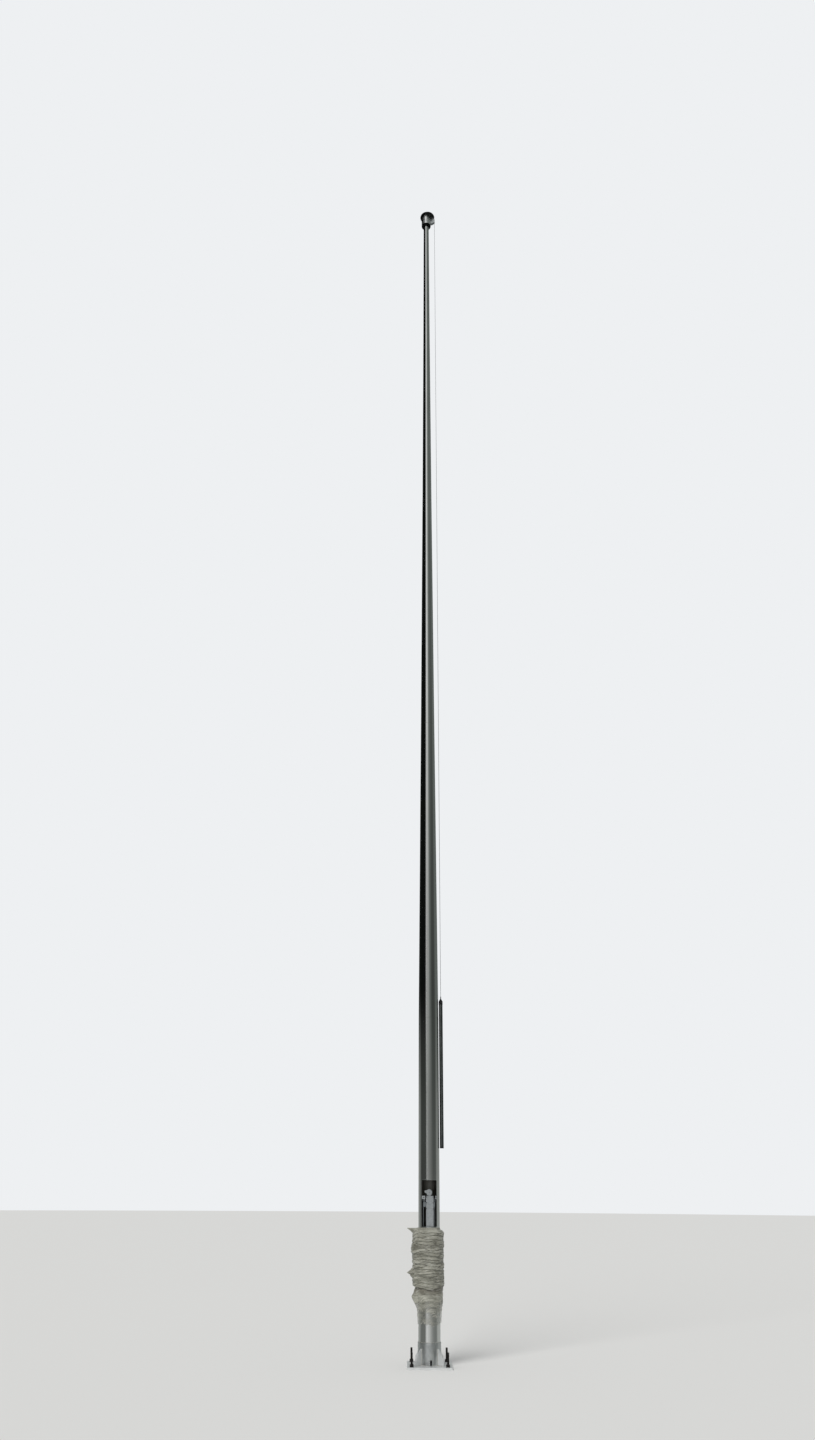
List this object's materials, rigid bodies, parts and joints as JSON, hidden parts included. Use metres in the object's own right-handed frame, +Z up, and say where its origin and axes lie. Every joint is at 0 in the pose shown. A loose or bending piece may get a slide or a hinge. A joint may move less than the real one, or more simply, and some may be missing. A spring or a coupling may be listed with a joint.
{
  "type": "flagpole",
  "caption": "Tall tapered stainless flagpole on a gusseted square base flange, with an open winch hatch low down, a turning crown with a sheave, and a halyard with a hanging weight.",
  "frame": {"origin": "on the pole's axis, in the underside of the base flange, which is the mounting face", "axes": "+Z up along the pole; the winch hatch faces -Y; the halyard hangs on the +X side at rest"},
  "size_m": [0.4, 0.4, 14.898],
  "materials": {
    "pole": "polished",
    "sleeve": "matte",
    "flange": "satin",
    "bolt": "satin",
    "crown": "polished",
    "sheave": "satin",
    "bush": "satin",
    "wire": "satin",
    "weight": "satin",
    "guide": "matte",
    "winch": "satin",
    "drum": "satin",
    "film": "matte"
  },
  "bodies": {
    "mast": {"base_flange": "flange", "base_sleeve": "sleeve", "base_gussets": "flange", "anchor_bolts": "bolt", "anchor_washers": "bolt", "anchor_nuts": "bolt", "pole_base_section": "pole", "opening_frame": "pole", "pole_lower_section": "pole", "pole_middle_section": "pole", "pole_upper_section": "pole", "pole_top_section": "pole", "winch_shelf": "winch", "winch_cheeks": "winch", "drum_axle": "bolt", "gear_arm": "winch", "gear_case": "drum", "gear_boss": "drum", "winch_pawl": "drum", "hatch_lugs": "pole", "top_bush": "bush", "halyard_inner": "wire", "protective_film": "film", "film_skirt": "film"},
    "crown": {"crown_hub": "crown", "sheave_side_plates": "crown", "sheave_axle": "bolt", "crown_plate": "crown", "crown_cap": "crown", "halyard_turn": "wire", "halyard_fall": "wire"},
    "sheave": {"crown_sheave": "sheave"},
    "weight": {"weight_tube": "weight", "weight_guide": "guide", "weight_plug": "guide"},
    "drum": {"rope_drum": "drum", "rope_coil": "wire"}
  },
  "joints": [
    {"name": "crown_turn", "type": "hinge", "parent": "mast", "child": "crown", "pos_m": [0, 0, 14.69], "axis": [0, 0, 1], "continuous": true},
    {"name": "sheave_spin", "type": "hinge", "parent": "crown", "child": "sheave", "pos_m": [0.0625, 0, 14.775], "axis": [0, 1, 0], "continuous": true},
    {"name": "weight_lift", "type": "slide", "parent": "crown", "child": "weight", "axis": [0, 0, 1], "range_m": [0, 11.3], "deforming": ["halyard_fall"]},
    {"name": "drum_spin", "type": "hinge", "parent": "mast", "child": "drum", "pos_m": [0, 0.034, 1.33], "axis": [1, 0, 0], "continuous": true}
  ],
  "couplings": [
    {"joint": "sheave_spin", "follows": "weight_lift", "rad_per_m": -16},
    {"joint": "drum_spin", "follows": "weight_lift", "rad_per_m": 29.412}
  ]
}
